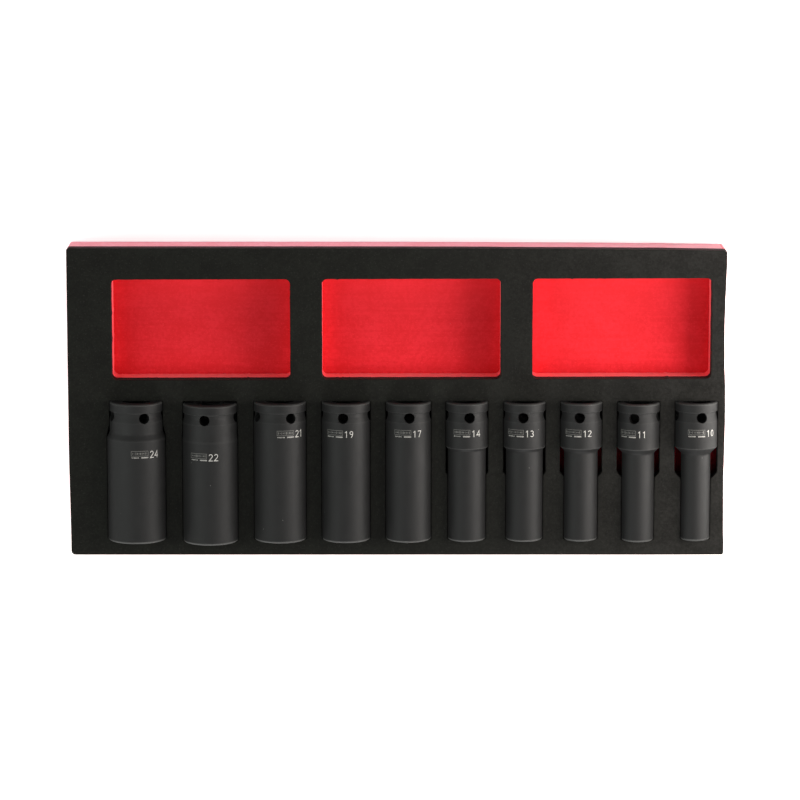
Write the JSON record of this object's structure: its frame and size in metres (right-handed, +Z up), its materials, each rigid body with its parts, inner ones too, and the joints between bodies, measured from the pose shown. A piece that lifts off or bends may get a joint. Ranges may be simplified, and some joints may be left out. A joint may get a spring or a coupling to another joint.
{
  "type": "socket organizer tray",
  "caption": "Two-colour foam drawer inlay with three open pockets and a row of deep impact sockets lying in fitted recesses.",
  "frame": {"origin": "on the tray's underside, in the middle of its outline", "axes": "+X along the row of sockets from the largest to the smallest, +Y from the sockets to the pockets, +Z up out of the tray"},
  "size_m": [0.3864, 0.183, 0.0452],
  "materials": {
    "red_foam": "matte",
    "black_foam": "matte",
    "black_steel": "satin"
  },
  "bodies": {
    "tray": {"foam_base": "red_foam", "foam_top_sheet": "black_foam"},
    "socket_24": {"socket_24mm": "black_steel"},
    "socket_22": {"socket_22mm": "black_steel"},
    "socket_21": {"socket_21mm": "black_steel"},
    "socket_19": {"socket_19mm": "black_steel"},
    "socket_17": {"socket_17mm": "black_steel"},
    "socket_14": {"socket_14mm": "black_steel"},
    "socket_13": {"socket_13mm": "black_steel"},
    "socket_12": {"socket_12mm": "black_steel"},
    "socket_11": {"socket_11mm": "black_steel"},
    "socket_10": {"socket_10mm": "black_steel"}
  },
  "joints": [
    {"name": "lift_socket_24", "type": "slide", "parent": "tray", "child": "socket_24", "axis": [0, 0, 1], "range_m": [0, 0.06]},
    {"name": "lift_socket_22", "type": "slide", "parent": "tray", "child": "socket_22", "axis": [0, 0, 1], "range_m": [0, 0.06]},
    {"name": "lift_socket_21", "type": "slide", "parent": "tray", "child": "socket_21", "axis": [0, 0, 1], "range_m": [0, 0.06]},
    {"name": "lift_socket_19", "type": "slide", "parent": "tray", "child": "socket_19", "axis": [0, 0, 1], "range_m": [0, 0.06]},
    {"name": "lift_socket_17", "type": "slide", "parent": "tray", "child": "socket_17", "axis": [0, 0, 1], "range_m": [0, 0.06]},
    {"name": "lift_socket_14", "type": "slide", "parent": "tray", "child": "socket_14", "axis": [0, 0, 1], "range_m": [0, 0.06]},
    {"name": "lift_socket_13", "type": "slide", "parent": "tray", "child": "socket_13", "axis": [0, 0, 1], "range_m": [0, 0.06]},
    {"name": "lift_socket_12", "type": "slide", "parent": "tray", "child": "socket_12", "axis": [0, 0, 1], "range_m": [0, 0.06]},
    {"name": "lift_socket_11", "type": "slide", "parent": "tray", "child": "socket_11", "axis": [0, 0, 1], "range_m": [0, 0.06]},
    {"name": "lift_socket_10", "type": "slide", "parent": "tray", "child": "socket_10", "axis": [0, 0, 1], "range_m": [0, 0.06]}
  ]
}
